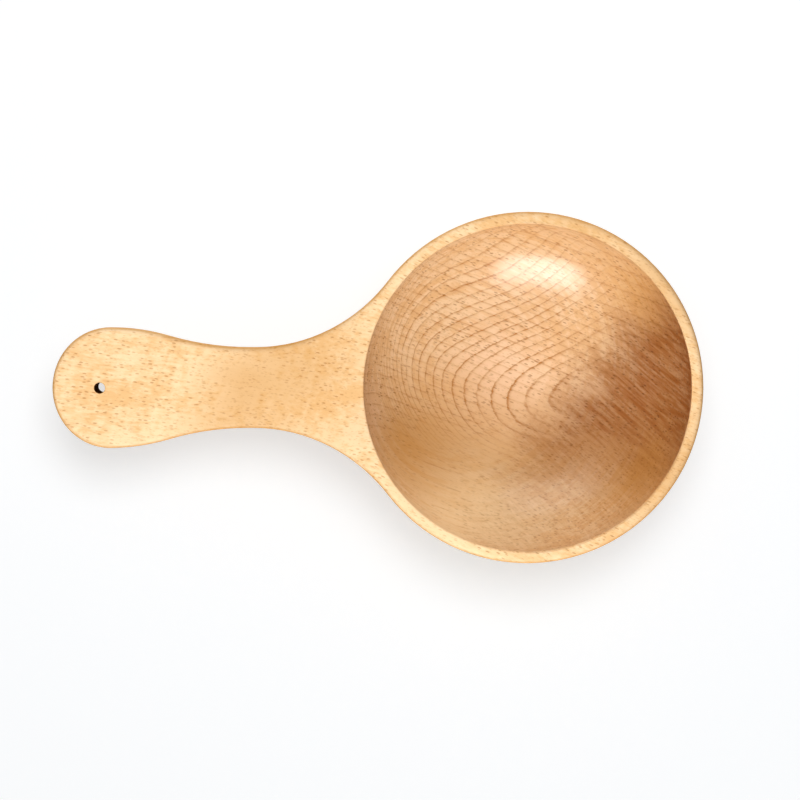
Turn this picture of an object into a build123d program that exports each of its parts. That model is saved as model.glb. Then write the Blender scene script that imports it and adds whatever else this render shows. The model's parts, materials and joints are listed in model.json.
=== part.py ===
"""A water dipper carved from one block of wood: a round bowl and a paddle handle.

Millimetres. The origin is on the bowl's axis, in the plane of the foot. +Z is up,
and the handle lies along -X, so the bowl's far edge is the +X end. The +Y half is
carved first, and the other half is its mirror image.
"""
import os
from math import sqrt

from build123d import *

# Overall sizes
overall_length = 254.0
bowl_diameter = 137.2
overall_height = 48.0

# Bowl
rim_width = 4.7
rim_inner_round = 0.7
wall_straight = 4.0
bottom_thickness = 8.0
foot_diameter = 82.0
foot_round = 3.0

# Handle, seen from above; the shoulder's share is the part of the curve between
# the end's full width and the waist that bulges, and the rest of it is hollow
end_width = 47.3
end_length = 22.3
shoulder_share = 0.42
waist_width = 31.6
waist_straight = 2.0
neck_start = 107.0

# Handle, seen from the side
waist_underside = 29.0
end_lift = 4.0
underside_round = 7.0
root_ring = 1.0
root_round = 8.0
dip_depth = 4.4
end_drop = 1.0

# One rounding runs along the rim and round the handle's top
top_round = 2.2

# Hanging hole
hole_diameter = 4.2
hole_from_end = 18.4

# The neck is rounded in a space that is stretched this many times upward, so that
# one rolling ball leaves a wide curve seen from above and a shallower cove below.
neck_stretch = 2.5

# Spare stock around the finished shape, cut away again
spare = 12.0

# Worked out from the sizes above
bowl_radius = bowl_diameter / 2
foot_radius = foot_diameter / 2
cavity_radius = bowl_radius - rim_width
curve_top = overall_height - wall_straight
outside_depth = curve_top / sqrt(1 - (foot_radius / bowl_radius) ** 2)
stock_top = overall_height + spare
end_half = end_width / 2
waist_half = waist_width / 2
end_x = bowl_radius - overall_length
end_center = end_x + end_length
waist_x = -(neck_start + waist_straight)
ring_radius = bowl_radius + root_ring
middle_plane = Plane((0, 0, 0), z_dir=(0, 1, 0))

# The neck's curve starts along the handle's side and ends along the bowl's round
neck_radius = (neck_start**2 + waist_half**2 - bowl_radius**2) / (2 * (bowl_radius - waist_half))

# The shoulder's arc bulges, the arc after it is hollow, and the two meet smoothly:
# the shoulder starts along X at the end's full width, the hollow ends along X at the waist
arc_run = waist_x - end_center
arc_fall = end_half - waist_half
arc_radii = (arc_run**2 + arc_fall**2) / (2 * arc_fall)
shoulder_radius = arc_radii * shoulder_share
hollow_radius = arc_radii - shoulder_radius


def turned(profile):
    """The solid that a closed profile in the XZ plane sweeps about the bowl's axis."""
    return revolve(make_face(profile), Axis.Z)


def bowl_outside(stretch):
    """Half an ellipsoid below a straight wall."""
    wall_z = curve_top * stretch
    top_z = stock_top * stretch
    depth = outside_depth * stretch
    profile = EllipticalCenterArc((0, wall_z), bowl_radius, depth, 270, arc_size=90)
    profile += Polyline((bowl_radius, wall_z), (bowl_radius, top_z), (0, top_z), (0, wall_z - depth))
    return turned(Plane.XZ * profile)


def bowl_hollow():
    """The bowl's inside: half an ellipsoid whose mouth flares into the rim's rounded edge."""
    mouth_z = overall_height - rim_inner_round
    mouth_radius = cavity_radius + rim_inner_round
    depth = mouth_z - bottom_thickness
    profile = EllipticalCenterArc((0, mouth_z), cavity_radius, depth, 270, arc_size=90)
    profile += CenterArc((mouth_radius, mouth_z), rim_inner_round, 90, 90)
    profile += Polyline(
        (mouth_radius, overall_height),
        (mouth_radius, stock_top),
        (0, stock_top),
        (0, bottom_thickness),
    )
    return turned(Plane.XZ * profile)


def neck_bar(stretch):
    """A straight bar at the waist's width, its lower corners rounded."""
    inner = waist_half - underside_round
    low = waist_underside * stretch
    turn = (waist_underside + underside_round) * stretch
    top = stock_top * stretch
    corner_height = underside_round * stretch
    section = Polyline((waist_half, turn), (waist_half, top), (-waist_half, top), (-waist_half, turn))
    section += EllipticalCenterArc((-inner, turn), underside_round, corner_height, 180, arc_size=90)
    section += Line((-inner, low), (inner, low))
    section += EllipticalCenterArc((inner, turn), underside_round, corner_height, 270, arc_size=90)
    return extrude(make_face(Plane.YZ * section), end_x, dir=(1, 0, 0))


def on_middle(edge):
    """Whether an edge lies in the plane that the two halves share."""
    return all(abs(edge.position_at(share).Y) < 0.01 for share in (0, 0.5, 1))


def on_neck_seam(edge):
    """Whether an edge of the stretched half is where the bar enters the bowl."""
    middle = edge.position_at(0.5)
    from_axis = sqrt(middle.X**2 + middle.Y**2)
    beside_bar = middle.X < 0 and middle.Y < waist_half + 0.1 and not on_middle(edge)
    below_top = middle.Z < stock_top * neck_stretch - 0.1
    return beside_bar and below_top and waist_half / 2 < from_axis < bowl_radius + 0.1


def bowl_and_neck():
    """Half of the bowl's outside and of the neck that flares into it, cut off at the waist."""
    joined = split(bowl_outside(neck_stretch) + neck_bar(neck_stretch), middle_plane, Keep.TOP)
    blended = fillet(joined.edges().filter_by(on_neck_seam), neck_radius)
    shaped = scale(blended, by=(1, 1, 1 / neck_stretch))
    return split(shaped, Plane((waist_x, 0, 0), z_dir=(1, 0, 0)), Keep.TOP)


def handle_side():
    """The side of the handle's outline: the shoulder's arc, then the hollow to the waist."""
    join = (end_center + arc_run * shoulder_share, end_half - arc_fall * shoulder_share)
    half_turn = arc_run / arc_radii / 2
    sagitta = 1 - sqrt(1 - half_turn**2)
    shoulder_middle = (end_center + shoulder_radius * half_turn, end_half - shoulder_radius * sagitta)
    hollow_middle = (waist_x - hollow_radius * half_turn, waist_half + hollow_radius * sagitta)
    shoulder = ThreePointArc((end_center, end_half), shoulder_middle, join)
    hollow = ThreePointArc(join, hollow_middle, (waist_x, waist_half))
    return shoulder + hollow


def under_handle():
    """The stock below the handle's end: its top is an arc that rises from the waist."""
    run = waist_x - end_x
    radius = (run**2 + end_lift**2) / (2 * end_lift)
    middle_lift = radius - sqrt(radius**2 - (run / 2) ** 2)
    waist_point = (waist_x, waist_underside)
    end_point = (end_x, waist_underside + end_lift)
    profile = ThreePointArc(waist_point, (waist_x - run / 2, waist_underside + middle_lift), end_point)
    past_end = end_x - spare
    profile += Polyline(
        end_point,
        (past_end, end_point[1]),
        (past_end, -spare),
        (waist_x, -spare),
        waist_point,
    )
    return extrude(make_face(Plane.XZ * profile), end_width, both=True)


def handle_end():
    """Half of the handle from the waist to its round end, with its lower edge rounded."""
    outline = EllipticalCenterArc((end_center, 0), end_length, end_half, 90, arc_size=90)
    outline += handle_side()
    outline += Polyline((waist_x, waist_half), (waist_x, 0), (end_x, 0))
    body = extrude(make_face(outline), stock_top) - under_handle()
    underside = body.faces().sort_by(Axis.Z)[0]
    outer_edges = [edge for edge in underside.edges() if not on_middle(edge)]
    lower_edges = [edge for edge in outer_edges if edge.center().X < waist_x - 0.1]
    return fillet(lower_edges, underside_round)


def above_handle():
    """The stock above the handle: its underside is a shallow arc turned about the bowl's axis."""
    end_radius = -end_x
    end_z = overall_height - end_drop
    middle = ((ring_radius + end_radius) / 2, (overall_height + end_z) / 2 - dip_depth)
    past_end = end_radius + spare
    profile = ThreePointArc((ring_radius, overall_height), middle, (end_radius, end_z))
    profile += Polyline(
        (end_radius, end_z),
        (past_end, end_z),
        (past_end, stock_top),
        (ring_radius, stock_top),
        (ring_radius, overall_height),
    )
    return turned(Plane.XZ * profile)


def looks_up(face):
    """Whether a face is on the rim or on the handle's top."""
    middle = face.center()
    return middle.Z > waist_underside and face.normal_at(middle).Z > 0.9


def turned_edge(part, radius):
    """The edge at the rim's level that was turned at this distance from the bowl's axis."""
    circles = part.edges().filter_by(GeomType.CIRCLE)
    level = [edge for edge in circles if abs(edge.arc_center.Z - overall_height) < 0.01]
    return [edge for edge in level if abs(edge.radius - radius) < 0.01]


def foot_outline(part):
    """The edge round the foot."""
    return [edge for edge in part.faces().sort_by(Axis.Z)[0].edges() if not on_middle(edge)]


def top_outline(part):
    """The edges round the outside of the rim and of the handle's top."""
    edges = [edge for face in part.faces().filter_by(looks_up) for edge in face.edges()]
    alone = [edge for edge in edges if sum(edge.is_same(other) for other in edges) == 1]
    inside = turned_edge(part, cavity_radius + rim_inner_round)
    outer = [edge for edge in alone if not any(edge.is_same(other) for other in inside)]
    return [edge for edge in outer if not on_middle(edge)]


def hanging_hole():
    """The drill's path through the handle's end."""
    return Pos(end_x + hole_from_end, 0, 0) * Cylinder(hole_diameter / 2, 2 * stock_top)


# Carve one half: the outside, the bowl's hollow and the handle's top
half = bowl_and_neck() + handle_end()
half = split(half, Plane.XY, Keep.TOP)
half = split(half, Plane.XY.offset(overall_height), Keep.BOTTOM)
half -= bowl_hollow()
half -= above_handle()

# Round its upper edges
half = fillet(turned_edge(half, ring_radius), root_round)
half = fillet(top_outline(half), top_round)

# Join it to its mirror image, round the whole foot, then drill
dipper = half + mirror(half, about=middle_plane)
dipper = fillet(foot_outline(dipper), foot_round)
dipper -= hanging_hole()

os.makedirs("parts", exist_ok=True)
export_step(dipper, "parts/dipper.step")
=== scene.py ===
"""Dress the water dipper in lacquered wood and set it on a pale studio floor.

Metres. The origin is on the bowl's axis, in the plane of the foot. +Z is up, the handle
lies along -X, and the picture's upper edge is towards +Y.
"""
import json
import math

import bpy
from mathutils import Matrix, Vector


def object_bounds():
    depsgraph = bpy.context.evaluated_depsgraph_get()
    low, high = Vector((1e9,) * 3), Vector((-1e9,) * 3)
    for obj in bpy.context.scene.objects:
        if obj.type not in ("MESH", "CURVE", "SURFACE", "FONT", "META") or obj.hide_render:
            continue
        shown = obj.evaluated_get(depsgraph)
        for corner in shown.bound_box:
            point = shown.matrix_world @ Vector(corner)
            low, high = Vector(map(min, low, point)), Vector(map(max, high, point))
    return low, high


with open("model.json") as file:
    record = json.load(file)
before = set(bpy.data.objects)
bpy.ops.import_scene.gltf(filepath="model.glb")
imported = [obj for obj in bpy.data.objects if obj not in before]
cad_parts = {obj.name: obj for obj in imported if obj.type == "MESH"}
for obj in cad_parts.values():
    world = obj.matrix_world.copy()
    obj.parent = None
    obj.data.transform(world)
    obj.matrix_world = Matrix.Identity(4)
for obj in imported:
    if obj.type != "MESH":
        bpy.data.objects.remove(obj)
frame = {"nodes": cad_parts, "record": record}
cad_low, cad_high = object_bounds()

bl_info = {
    "name": "Water Dipper",
    "version": (1, 0, 0),
    "blender": (4, 5, 0),
    "location": "3D View > Sidebar > Dipper",
    "description": "Finishes a one-piece wooden water dipper and sets up its studio stage",
    "category": "Object",
}

DIPPER_NODE = "dipper"
HOLE_MOUNT = "hang_hole"

# How dark a growth layer is from its inner to its outer side: a slow rise, then a thin line
LAYER_STOPS = [
    (0.0, 0.30),
    (0.05, 0.03),
    (0.50, 0.0),
    (0.76, 0.12),
    (0.87, 0.45),
    (0.92, 1.0),
    (0.99, 0.9),
]

# Depth of the growth layers in the tree: each factor goes with a product of x, y and z,
# counted in lengths of 64 mm, and the last one is the depth of the innermost layer
LAYER_LENGTH = 0.064
LAYER_FACTORS = {
    "x": -0.653,
    "y": 1.394,
    "z": 8.466,
    "xx": -2.325,
    "yy": -0.524,
    "xy": -0.061,
    "yz": -6.489,
}
LAYER_START = 0.849

# Noise that the grain is made of: its lengths along the fibre and across it, its detail
# and its roughness
STREAK = ((0.045, 0.0011, 0.0011), 3.0, 0.6)
MOTTLE = ((0.040, 0.016, 0.016), 2.0, 0.5)
FIGURE = ((0.0035, 0.0050, 0.0050), 1.0, 0.5)
SHEET = ((0.030, 0.030, 0.0013), 3.0, 0.6)
WIDE_WAVE = ((0.050, 0.030, 0.030), 1.0, 0.5)
SMALL_WAVE = ((0.004, 0.002, 0.002), 2.0, 0.5)
BROKEN_LINE = ((0.0045, 0.0016, 0.0020), 2.0, 0.5)

# The same for the bands, whose last length counts in growth layers, and for the streaks
# in the brown wood, which lie at their own angle
BAND = ((0.030, 0.030, 0.8), 2.0, 0.6)
SLOPE_SIZE = (0.016, 0.0014, 0.010)
SLOPE_DETAIL = (2.0, 0.6)

# Flecks: their lengths along the fibre and across it, and the share of them that shows
FLECKS = ((0.0034, 0.00100, 0.0022), 0.85)
SMALL_FLECKS = ((0.0019, 0.00060, 0.0014), 0.75)

# How much each kind of grain adds to the tone, to the ragged borders and to the height
TONE = {"slope": 0.12, "sheet": 1.2, "streak": 0.7, "mottle": 0.9, "figure": 0.4, "band": 0.5}
RAGGED = {"mottle": 0.024, "streak": 0.006, "band": 0.007}
HEIGHT = {
    "streak": 0.5,
    "sheet": 0.4,
    "figure": 0.3,
    "band": 0.2,
    "fleck": -0.6,
    "small_fleck": -0.3,
    "rings": -0.4,
    "rays": -0.25,
}
BUMP_STRENGTH = 0.75
BUMP_DISTANCE = 0.00022

# The fibre bends along the handle, from this x on
FIBRE_BEND = 0.24
FIBRE_BEND_START = -0.06

# Gloss of the lacquer
COAT_OUTSIDE = 0.04
COAT_INSIDE = 0.38
COAT_ROUGHNESS = 0.22
WOOD_SHEEN = 0.03

# The bowl's hollow: half an ellipsoid that hangs from its mouth
HOLLOW_RADIUS = 0.0639
HOLLOW_MOUTH = 0.0473
HOLLOW_DEPTH = 0.0393

# The handle's top: its two ends' distances from the bowl's axis, how far it dips between
# them, and how far its outer end drops
HANDLE_TOP = (0.0696, 0.1854)
HANDLE_DIP = 0.0044
HANDLE_DROP = 0.0010

# Golden and paler patches laid over the wood's colour: middle, reach, strength and colour. The ones marked
# below are painted shade, painted sheen and a painted highlight; the rest are golden patches
# Golden brown, for golden patches and for painted shade
GOLDEN_AND_PAINTED_SHADE = (0.58, 0.27, 0.055)
# Pale pink for the painted sheen
PAINTED_SHEEN = (0.86, 0.58, 0.37)
# Pale straw for the painted highlight
PAINTED_HIGHLIGHT = (0.92, 0.68, 0.39)
PATCHES_AND_PAINTED_LIGHT = [
    # Painted sheen on the bowl's bottom
    ((-0.006, 0.003, 0.008), 0.042, 0.85, PAINTED_SHEEN),
    # Painted sheen on the bowl's inner wall at -X
    ((-0.060, -0.008, 0.036), 0.020, 0.60, PAINTED_SHEEN),
    # Painted highlight: broad pale patch on the bowl's lower wall, towards -Y
    ((-0.012, -0.052, 0.032), 0.046, 0.80, PAINTED_HIGHLIGHT),
    ((-0.092, 0.008, 0.044), 0.044, 0.50, GOLDEN_AND_PAINTED_SHADE),
    ((-0.116, -0.012, 0.043), 0.026, 0.35, GOLDEN_AND_PAINTED_SHADE),
    # Golden patches in the bowl's lower left, where the front lamp's shadow falls: partly golden wood,
    # partly painted shade
    ((-0.034, -0.022, 0.016), 0.046, 0.50, GOLDEN_AND_PAINTED_SHADE),
    ((-0.047, -0.022, 0.026), 0.028, 0.55, GOLDEN_AND_PAINTED_SHADE),
    # Painted shade: golden patch that deepens the front lamp's shadow on the bowl's bottom towards -Y
    ((0.006, -0.027, 0.011), 0.034, 0.50, GOLDEN_AND_PAINTED_SHADE),
    ((0.050, 0.034, 0.032), 0.034, 0.60, GOLDEN_AND_PAINTED_SHADE),
    ((0.048, -0.030, 0.030), 0.040, 0.85, GOLDEN_AND_PAINTED_SHADE),
    # Painted shade: golden darkening of the rim and the upper wall at +Y
    ((0.020, 0.066, 0.048), 0.060, 0.22, GOLDEN_AND_PAINTED_SHADE),
]


class Value:
    """A number that a shader node gives. Arithmetic on it adds Math nodes."""

    def __init__(self, shader, socket):
        self.shader = shader
        self.socket = socket

    def __add__(self, other):
        return self.shader.math("ADD", self, other)

    __radd__ = __add__

    def __sub__(self, other):
        return self.shader.math("SUBTRACT", self, other)

    def __rsub__(self, other):
        return self.shader.math("SUBTRACT", other, self)

    def __mul__(self, other):
        return self.shader.math("MULTIPLY", self, other)

    __rmul__ = __mul__

    def __truediv__(self, other):
        return self.shader.math("DIVIDE", self, other)

    def __rtruediv__(self, other):
        return self.shader.math("DIVIDE", other, self)


class Shader:
    """The node tree of one material or world."""

    def __init__(self, owner):
        owner.use_nodes = True
        self.tree = owner.node_tree
        self.tree.nodes.clear()

    def feed(self, socket, item):
        """Link a value into a socket, or set the socket to a plain number or colour."""
        if isinstance(item, Value):
            self.tree.links.new(item.socket, socket)
        elif socket.type == "RGBA":
            socket.default_value = (*item[:3], 1.0)
        else:
            socket.default_value = item

    def node(self, kind, settings=None, inputs=None, output=0):
        """Add a node, apply its settings, feed its sockets and give one of its outputs."""
        made = self.tree.nodes.new(kind)
        for name, setting in (settings or {}).items():
            if name == "stops":
                set_stops(made.color_ramp, setting)
            else:
                setattr(made, name, setting)
        for name, item in (inputs or {}).items():
            self.feed(made.inputs[name], item)
        return Value(self, made.outputs[output]) if made.outputs else None

    def math(self, operation, *items):
        """A Math node on values and numbers."""
        return self.node("ShaderNodeMath", {"operation": operation}, dict(enumerate(items)))

    def step(self, item, low, high):
        """A smooth rise from 0 at low to 1 at high."""
        inputs = {"Value": item, "From Min": low, "From Max": high}
        return self.node("ShaderNodeMapRange", {"interpolation_type": "SMOOTHSTEP"}, inputs)

    def blend(self, factor, first, second):
        """Mix two colours."""
        settings = {"data_type": "RGBA", "blend_type": "MIX", "clamp_factor": True}
        return self.node("ShaderNodeMix", settings, {0: factor, 6: first, 7: second}, 2)

    def noise(self, place, detail, roughness):
        """Soft noise from 0 to 1."""
        inputs = {"Vector": place, "Scale": 1.0, "Detail": detail, "Roughness": roughness}
        return self.node("ShaderNodeTexNoise", {"noise_dimensions": "3D"}, inputs, "Fac")

    def axes(self, place):
        """The three parts of a vector."""
        return [self.node("ShaderNodeSeparateXYZ", None, {0: place}, index) for index in range(3)]

    def turned(self, place, size, turn=(0.0, 0.0, 0.0), origin=(0.0, 0.0, 0.0)):
        """Coordinates that start at origin, are turned, and count in lengths of size."""
        inputs = {"Vector": place, "Location": origin, "Rotation": turn, "Scale": size}
        return self.node("ShaderNodeMapping", {"vector_type": "TEXTURE"}, inputs)

    def distance(self, place, origin, flat=False):
        """How far a place is from a point, or from the upright line through it."""
        x, y, z = self.axes(self.turned(place, (1.0, 1.0, 1.0), origin=origin))
        squares = x * x + y * y if flat else x * x + y * y + z * z
        return self.math("SQRT", squares)

    def shown(self):
        """1 where the floor or backdrop is looked at, straight or in a reflection."""
        rays = [
            self.node("ShaderNodeLightPath", None, None, ray)
            for ray in ("Is Camera Ray", "Is Glossy Ray", "Is Transmission Ray")
        ]
        return self.math("MINIMUM", rays[0] + rays[1] + rays[2], 1.0)


def set_stops(ramp, stops):
    """Set a colour ramp to a list of (place, grey level)."""
    while len(ramp.elements) < len(stops):
        ramp.elements.new(1.0)
    for element, (place, level) in zip(ramp.elements, stops):
        element.position = place
        element.color = (level, level, level, 1.0)


def hole_place():
    """The middle of the hanging hole, from the record's mount."""
    for mount in frame["record"]["mounts"]:
        if mount["name"] == HOLE_MOUNT:
            return mount["pos_m"], mount["dims"]["r_mm"] / 1000
    raise ValueError("the record has no hanging hole")


def counted(shader, parts, sizes):
    """A place counted in lengths of sizes."""
    inputs = {index: part / size for index, (part, size) in enumerate(zip(parts, sizes))}
    return shader.node("ShaderNodeCombineXYZ", None, inputs)


def grain_noise(shader, parts, sizes, detail, roughness):
    """Noise at a place counted in lengths of sizes."""
    return shader.noise(counted(shader, parts, sizes), detail, roughness)


def weighted(weights, parts):
    """The sum of the parts, each times its weight."""
    total = 0.0
    for name, weight in weights.items():
        total = parts[name] * weight + total
    return total


def growth_layer(shader, place, look):
    """The number of the growth layer at a place."""
    parts = dict(zip("xyz", shader.axes(shader.turned(place, (LAYER_LENGTH,) * 3))))
    depth = -LAYER_START
    for letters, factor in LAYER_FACTORS.items():
        term = parts[letters[0]] * factor
        for letter in letters[1:]:
            term = term * parts[letter]
        depth = term + depth
    return depth / look.layer_step


def growth_lines(shader, layer, fibre, look):
    """How dark the line at the end of each year's growth is."""
    wide_wave = grain_noise(shader, fibre, *WIDE_WAVE) - 0.5
    small_wave = grain_noise(shader, fibre, *SMALL_WAVE) - 0.5
    count = layer + wide_wave * look.ring_wave + small_wave * look.ring_ripple
    year = {"W": shader.math("FLOOR", count)}
    strength = shader.node("ShaderNodeTexWhiteNoise", {"noise_dimensions": "1D"}, year)
    line = shader.node("ShaderNodeValToRGB", {"stops": LAYER_STOPS}, {0: shader.math("FRACT", count)})
    broken = shader.step(grain_noise(shader, fibre, *BROKEN_LINE), 0.30, 0.55)
    return line * (0.60 + 0.40 * strength) * (0.35 + 0.65 * broken)


def flecks(shader, fibre, sizes, share):
    """The wood's rays, cut through: short dark dashes, some faint and some left out."""
    inputs = {"Vector": counted(shader, fibre, sizes), "Scale": 1.0}
    settings = {"voronoi_dimensions": "3D", "feature": "F1"}
    distance = shader.node("ShaderNodeTexVoronoi", settings, inputs, "Distance")
    chance = shader.axes(shader.node("ShaderNodeTexVoronoi", settings, inputs, "Color"))[0]
    kept = shader.step(chance, 1.0 - share, 1.0 - share + 0.35)
    return kept * (1.0 - shader.step(distance, 0.16, 0.35))


def bowl_inside(shader, from_axis, z):
    """1 on the wall and the bottom of the bowl's hollow, 0 on its rim and outside."""
    share = from_axis / HOLLOW_RADIUS
    height = shader.math("SQRT", shader.math("MAXIMUM", 1.0 - share * share, 0.0))
    above_wood = shader.step(z - (HOLLOW_MOUTH - HOLLOW_DEPTH * height), -0.0040, -0.0020)
    within = 1.0 - shader.step(from_axis, HOLLOW_RADIUS - 0.0002, HOLLOW_RADIUS + 0.0006)
    below_rim = 1.0 - shader.step(z, cad_high.z - 0.0010, cad_high.z - 0.0002)
    return above_wood * within * below_rim


def painted_edge_shade(shader, from_axis, z):
    """1 in a band just below the top of the rim and of the handle, along their outer round, which turns
    away from the light; the band gets painted shade.
    """
    along = (from_axis - HANDLE_TOP[0]) / (HANDLE_TOP[1] - HANDLE_TOP[0])
    along = shader.math("MAXIMUM", along, 0.0)
    top = cad_high.z - along * (HANDLE_DROP + HANDLE_DIP * 4.0 * (1.0 - along))
    below = top - z
    past_rim = shader.step(from_axis, 0.0655, 0.0665)
    return past_rim * shader.step(below, 0.00015, 0.0011) * (1.0 - shader.step(below, 0.0022, 0.0050))


def fibre_place(shader, x, y, z, look):
    """A place's parts along the fibre and across it."""
    bent = y - FIBRE_BEND * shader.math("MINIMUM", x - FIBRE_BEND_START, 0.0)
    turn = (0.0, -look.fibre_rise, look.fibre_turn)
    whole = (1.0, 1.0, 1.0)
    return shader.axes(shader.turned(counted(shader, (x, bent, z), whole), whole, turn))


def with_patches_and_painted_light(shader, place, ragged, base):
    """A colour with the golden and paler patches laid over it, some of them painted shade, painted sheen
    and a painted highlight.
    """
    for centre, reach, strength, colour in PATCHES_AND_PAINTED_LIGHT:
        far = shader.distance(place, centre) + ragged * 1.2
        base = shader.blend((1.0 - shader.step(far, 0.0, reach)) * strength, base, colour)
    return base


def lacquered_wood(look):
    """Pale wood under a clear lacquer, which is glossy in the bowl and nearly matte elsewhere."""
    material = bpy.data.materials.new("lacquered_wood")
    shader = Shader(material)
    place = shader.node("ShaderNodeTexCoord", None, None, "Object")
    x, y, z = shader.axes(place)
    from_axis = shader.math("SQRT", x * x + y * y)
    inside = bowl_inside(shader, from_axis, z)

    # Grain
    fibre = fibre_place(shader, x, y, z, look)
    layer = growth_layer(shader, place, look)
    streak = grain_noise(shader, fibre, *STREAK)
    mottle = grain_noise(shader, fibre, *MOTTLE)
    figure = grain_noise(shader, fibre, *FIGURE)
    sheet = grain_noise(shader, fibre, *SHEET)
    slope = shader.turned(place, SLOPE_SIZE, (0.0, 0.0, look.slope_turn))
    slope_streak = shader.step(shader.noise(slope, *SLOPE_DETAIL), 0.32, 0.68)
    band = (grain_noise(shader, (fibre[0], fibre[1], layer), *BAND) - 0.5) * inside
    uneven = {
        "slope": (slope_streak - 0.5) * inside,
        "sheet": (sheet - 0.5) * inside,
        "streak": streak - 0.5,
        "mottle": mottle - 0.5,
        "figure": figure - 0.5,
        "band": band,
    }
    ragged = weighted(RAGGED, uneven)
    tone = weighted(TONE, uneven)

    # Brown wood at the bowl's far wall
    across_heart = x * math.cos(look.heart_turn) + y * math.sin(look.heart_turn) + ragged
    heart_fade = 0.35 + 0.65 * shader.step(y, -0.046, -0.010)
    heart = shader.step(across_heart, look.heart_start, look.heart_full) * heart_fade * inside

    # Growth lines, strongest in the upper part of the bowl and before the brown wood
    upper = shader.step(y - 0.6 * shader.math("MAXIMUM", x, 0.0), -0.030, -0.006)
    below_wall = 1.0 - 0.5 * shader.step(from_axis, 0.046, 0.060)
    ring_mask = inside * (0.15 + 0.85 * upper) * below_wall
    before_heart = 1.0 - 0.6 * shader.step(x, 0.008, 0.026) - 0.4 * shader.step(x, 0.036, 0.050)
    rings = growth_lines(shader, layer, fibre, look) * ring_mask * before_heart
    rays = growth_lines(shader, fibre[1] / look.ray_step, fibre, look)
    fibre_line = shader.step(streak, 0.56, 0.72)
    lower_lines = 0.15 + 0.22 * inside * (1.0 - upper)
    ray_depth = 0.06 + 0.42 * inside * upper
    line_depth = rings * look.ring_depth + fibre_line * lower_lines + rays * ray_depth

    # Flecks, fewest in the lower part of the bowl
    patches = shader.step(mottle, 0.25, 0.60)
    clear = 0.70 + 0.08 * inside - 0.50 * inside * (1.0 - upper) * (1.0 - heart)
    fleck = flecks(shader, fibre, *FLECKS) * (0.45 + 0.55 * patches) * clear
    small_fleck = flecks(shader, fibre, *SMALL_FLECKS) * clear

    # Colour, from the palest wood to the painted shade in the hanging hole
    outer = shader.blend(shader.step(tone, -0.20, 0.24), look.pale, look.honey)
    # Painted shade: the bowl's inside is blended towards a browner tone, half as much towards -Y
    lower = 1.0 - 0.5 * shader.step(y, -0.022, -0.048)
    base = shader.blend(inside * lower * look.inside_shade_depth, outer, look.inside)
    base = with_patches_and_painted_light(shader, place, ragged, base)
    toned = shader.blend(heart * (0.72 + 0.26 * slope_streak), base, look.heartwood)
    lined = shader.blend(line_depth, toned, shader.blend(heart, look.line, look.deep))
    fleck_tone = shader.blend(0.30 * inside + 0.70 * heart, look.fleck, look.deep)
    flecked = shader.blend(fleck * look.fleck_depth, lined, fleck_tone)
    speckled = shader.blend(small_fleck * (look.fleck_depth * 0.45), flecked, fleck_tone)
    # Painted shade: the band below the top of the rim and the handle is darkened towards golden brown, and
    # is made rougher and less glossy
    edge_shade = painted_edge_shade(shader, from_axis, z)
    edge_shaded = shader.blend(edge_shade * 0.65, speckled, GOLDEN_AND_PAINTED_SHADE)
    hole, hole_radius = hole_place()
    from_hole = shader.distance(place, hole, True)
    # Painted shade: the hanging hole's wall is near-black, rough and without lacquer
    hole_wall_shade = 1.0 - shader.step(from_hole, hole_radius + 0.00002, hole_radius + 0.00015)
    final = shader.blend(hole_wall_shade, edge_shaded, look.hole)

    # Surface
    raised = {
        "streak": streak,
        "sheet": sheet * inside,
        "figure": figure,
        "band": band,
        "fleck": fleck,
        "small_fleck": small_fleck,
        "rings": rings,
        "rays": rays * inside,
    }
    height = weighted(HEIGHT, raised)
    bump_inputs = {"Height": height, "Strength": BUMP_STRENGTH, "Distance": BUMP_DISTANCE}
    bump = shader.node("ShaderNodeBump", None, bump_inputs)
    wood_rough = look.roughness + 0.25 * (1.0 - inside) + 0.10 * (streak - 0.5) + 0.12 * fleck
    coat = COAT_OUTSIDE + (COAT_INSIDE - COAT_OUTSIDE) * inside
    inputs = {
        "Base Color": final,
        "Roughness": wood_rough + 0.4 * edge_shade + 0.5 * hole_wall_shade,
        "Normal": bump,
        "IOR": 1.5,
        "Specular IOR Level": WOOD_SHEEN,
        "Coat Weight": coat * (1.0 - hole_wall_shade) * (1.0 - 0.8 * edge_shade) * (1.0 - 0.5 * heart),
        "Coat Roughness": COAT_ROUGHNESS,
    }
    principled = shader.node("ShaderNodeBsdfPrincipled", None, inputs)
    shader.node("ShaderNodeOutputMaterial", None, {"Surface": principled})
    return material


def white_floor(look):
    """A plain floor that looks like white paper, with the dipper's shadow on it."""
    material = bpy.data.materials.new("white_floor")
    shader = Shader(material)
    paper = shader.node("ShaderNodeBsdfDiffuse", None, {"Color": look.floor_colour})
    lit = shader.node("ShaderNodeBsdfDiffuse", None, {"Color": look.shadow_depth})
    lift = shader.node("ShaderNodeEmission", None, {"Strength": look.floor_lift})
    white = shader.node("ShaderNodeAddShader", None, {0: lit, 1: lift})
    mixed = shader.node("ShaderNodeMixShader", None, {0: shader.shown(), 1: paper, 2: white})
    shader.node("ShaderNodeOutputMaterial", None, {"Surface": mixed})
    return material


def light_world(look):
    """Even light from all round, and white where the camera looks past the floor."""
    world = bpy.data.worlds.new("studio")
    shader = Shader(world)
    around = shader.node("ShaderNodeBackground", None, {"Strength": look.world_level})
    white = shader.node("ShaderNodeBackground", None, {"Color": (1.0, 1.0, 1.0), "Strength": 1.0})
    mixed = shader.node("ShaderNodeMixShader", None, {0: shader.shown(), 1: around, 2: white})
    shader.node("ShaderNodeOutputWorld", None, {"Surface": mixed})
    bpy.context.scene.world = world


def camera_place(look):
    """Where the camera stands: above the view's middle, leaning towards +Y."""
    away = Vector((0.0, math.sin(look.view_tilt), math.cos(look.view_tilt)))
    return Vector(look.view_centre) + away * look.view_distance


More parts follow.
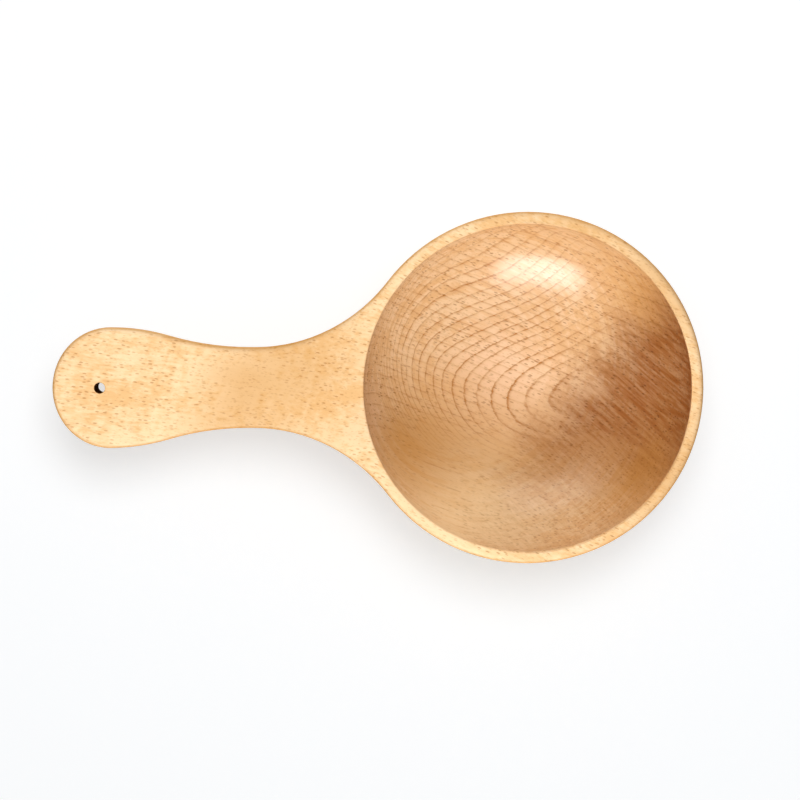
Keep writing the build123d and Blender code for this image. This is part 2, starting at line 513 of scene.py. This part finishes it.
def add_softbox(name, aim, rise, bearing, distance, size, power):
    """A rectangular lamp that points at a place from a height angle and a compass bearing from +Y."""
    level = math.cos(rise) * distance
    away = Vector((math.sin(bearing) * level, math.cos(bearing) * level, math.sin(rise) * distance))
    place = Vector(aim) + away
    bpy.ops.object.light_add(type="AREA", location=place)
    lamp = bpy.context.object
    lamp.name = name
    lamp.data.shape = "RECTANGLE"
    lamp.data.size, lamp.data.size_y = size
    lamp.data.energy = power
    lamp.rotation_euler = (Vector(aim) - place).to_track_quat("-Z", "Y").to_euler()
    return lamp


def light_only(lamp, lit):
    """Keep a lamp's light off everything but one object."""
    receivers = bpy.data.collections.new(lamp.name + "_lights")
    receivers.objects.link(lit)
    lamp.light_linking.receiver_collection = receivers


def colour_property(name, default, description):
    return bpy.props.FloatVectorProperty(
        name=name, description=description, default=default, subtype="COLOR", min=0, max=1
    )


def length_property(name, default, description):
    return bpy.props.FloatProperty(name=name, description=description, default=default, unit="LENGTH")


def angle_property(name, default, description):
    return bpy.props.FloatProperty(name=name, description=description, default=default, subtype="ANGLE")


def factor_property(name, default, description):
    return bpy.props.FloatProperty(name=name, description=description, default=default, subtype="FACTOR")


def place_property(name, default, description):
    return bpy.props.FloatVectorProperty(
        name=name, description=description, default=default, subtype="TRANSLATION", unit="LENGTH"
    )


class DipperWood(bpy.types.PropertyGroup):
    """Colours and grain of the wood."""

    pale: colour_property("Pale", (0.91, 0.655, 0.385), "Palest streaks of the wood")
    honey: colour_property("Honey", (0.80, 0.485, 0.220), "Warmest streaks of the wood")
    line: colour_property("Line", (0.46, 0.19, 0.05), "Growth lines")
    fleck: colour_property("Fleck", (0.44, 0.175, 0.040), "Short dark flecks")
    heartwood: colour_property("Heartwood", (0.27, 0.085, 0.017), "Brown wood at the bowl's far wall")
    deep: colour_property("Deep", (0.13, 0.040, 0.008), "Lines and flecks in the brown wood")
    # Painted shade: browner tone of the bowl's inside
    inside: colour_property("Inside", (0.62, 0.36, 0.190), "Tone of the bowl's inside")
    # Painted shade: near-black colour of the hanging hole's wall
    hole: colour_property("Hole", (0.12, 0.040, 0.010), "Dark drilled wall of the hanging hole")
    # Painted shade: how far the bowl's inside is blended towards that tone
    inside_shade_depth: factor_property("Inside depth", 0.36, "How much browner the bowl's inside is")
    layer_step: factor_property("Layer step", 0.083, "Depth of one growth layer")
    ray_step: length_property("Ray step", 0.0036, "Width between the lines along the fibre")
    ring_wave: factor_property("Ring wave", 1.1, "How many layers the growth lines wander")
    ring_ripple: factor_property("Ring ripple", 0.22, "How rough the growth lines are")
    ring_depth: factor_property("Ring depth", 0.92, "How dark the growth lines are")
    fleck_depth: factor_property("Fleck depth", 0.85, "How dark the flecks are")
    fibre_rise: angle_property("Fibre rise", -0.30, "How steeply the fibre rises")
    fibre_turn: angle_property("Fibre turn", -0.39, "Turn of the fibre from the handle's line")
    slope_turn: angle_property("Slope turn", -0.72, "Turn of the streaks in the brown wood")
    heart_turn: angle_property("Heart turn", -0.66, "Direction in which the brown wood deepens")
    heart_start: length_property("Heart start", 0.003, "Where the brown wood starts, past the bowl's axis")
    heart_full: length_property("Heart full", 0.035, "Where the brown wood is darkest")
    roughness: factor_property("Roughness", 0.40, "Roughness of the wood below the lacquer")


class DipperStage(bpy.types.PropertyGroup):
    """Floor, lamps and camera."""

    floor_colour: colour_property("Floor", (0.85, 0.85, 0.85), "Colour of the floor")
    shadow_depth: colour_property("Shadow depth", (0.59, 0.61, 0.63), "White that a shadow takes away")
    floor_lift: factor_property("Floor lift", 0.57, "White that the camera always sees on the floor")
    world_level: factor_property("World level", 0.38, "Strength of the light from all round")
    lamp_aim: place_property("Lamp aim", (-0.010, 0.0, 0.030), "Point that the lamps face")
    view_centre: place_property("View centre", (-0.0497, -0.0045, 0.048), "Middle of the picture")
    view_width: length_property("View width", 0.3113, "Width that the picture takes in")
    view_distance: length_property("View distance", 0.90, "From the camera to the view centre")
    view_tilt: angle_property("View tilt", math.radians(3.0), "Camera's lean towards +Y")


# Each lamp's name, height angle and bearing from +Y in degrees, distance, size, power in
# watts, whether it gives soft light, whether it shows as a shine, and the one piece that
# it lights, if not all
LAMPS = [
    ("softbox_above", 75, 0, 1.10, (0.50, 0.50), 2.6, True, False, None),
    ("softbox_shadow", 70, 6, 1.10, (0.50, 0.50), 3.3, True, False, "floor"),
    ("softbox_front", 38, 188, 0.95, (0.50, 0.30), 7.7, True, False, DIPPER_NODE),
    ("softbox_low", 22.5, 183, 0.95, (0.62, 0.46), 24.0, False, True, DIPPER_NODE),
    ("softbox_back", 32, -12, 0.95, (0.75, 0.45), 5.0, True, True, DIPPER_NODE),
]


class DIPPER_OT_wood(bpy.types.Operator):
    """Give the dipper its wood grain and lacquer"""

    bl_idname = "dipper.wood"
    bl_label = "Finish the Wood"

    def execute(self, context):
        node = frame["nodes"][DIPPER_NODE]
        node.data.materials.clear()
        node.data.materials.append(lacquered_wood(context.scene.dipper_wood))
        return {"FINISHED"}


class DIPPER_OT_stage(bpy.types.Operator):
    """Add the floor, the lamps and the camera"""

    bl_idname = "dipper.stage"
    bl_label = "Set the Stage"

    def execute(self, context):
        look = context.scene.dipper_stage
        bpy.ops.object.select_all(action="DESELECT")
        bpy.ops.mesh.primitive_plane_add(size=6.0, location=(0.0, 0.0, 0.0))
        floor = context.object
        floor.name = "floor"
        floor.data.materials.append(white_floor(look))
        light_world(look)
        pieces = {"floor": floor, DIPPER_NODE: frame["nodes"][DIPPER_NODE]}
        for name, rise, bearing, distance, size, power, soft, shine, lit in LAMPS:
            angles = (math.radians(rise), math.radians(bearing))
            lamp = add_softbox(name, look.lamp_aim, *angles, distance, size, power)
            lamp.visible_diffuse = soft
            lamp.visible_glossy = shine
            if lit:
                light_only(lamp, pieces[lit])
        self.add_camera(look)
        context.scene.view_settings.view_transform = "Standard"
        return {"FINISHED"}

    def add_camera(self, look):
        bpy.ops.object.camera_add(location=camera_place(look), rotation=(-look.view_tilt, 0.0, 0.0))
        camera = bpy.context.object
        camera.name = "camera"
        camera.data.lens = camera.data.sensor_width * look.view_distance / look.view_width
        bpy.context.scene.camera = camera


class DIPPER_PT_panel(bpy.types.Panel):
    """Lists the dipper's settings and steps"""

    bl_idname = "DIPPER_PT_panel"
    bl_label = "Water Dipper"
    bl_space_type = "VIEW_3D"
    bl_region_type = "UI"
    bl_category = "Dipper"

    def draw(self, context):
        layout = self.layout
        for group in (context.scene.dipper_wood, context.scene.dipper_stage):
            box = layout.box()
            for name in group.__annotations__:
                box.prop(group, name)
        for operator in (DIPPER_OT_wood, DIPPER_OT_stage):
            layout.operator(operator.bl_idname)


CLASSES = (DipperWood, DipperStage, DIPPER_OT_wood, DIPPER_OT_stage, DIPPER_PT_panel)


def register():
    for item in CLASSES:
        bpy.utils.register_class(item)
    bpy.types.Scene.dipper_wood = bpy.props.PointerProperty(type=DipperWood)
    bpy.types.Scene.dipper_stage = bpy.props.PointerProperty(type=DipperStage)


def unregister():
    del bpy.types.Scene.dipper_stage
    del bpy.types.Scene.dipper_wood
    for item in reversed(CLASSES):
        bpy.utils.unregister_class(item)


def main():
    register()
    bpy.ops.dipper.wood()
    bpy.ops.dipper.stage()


if __name__ == "__main__":
    main()
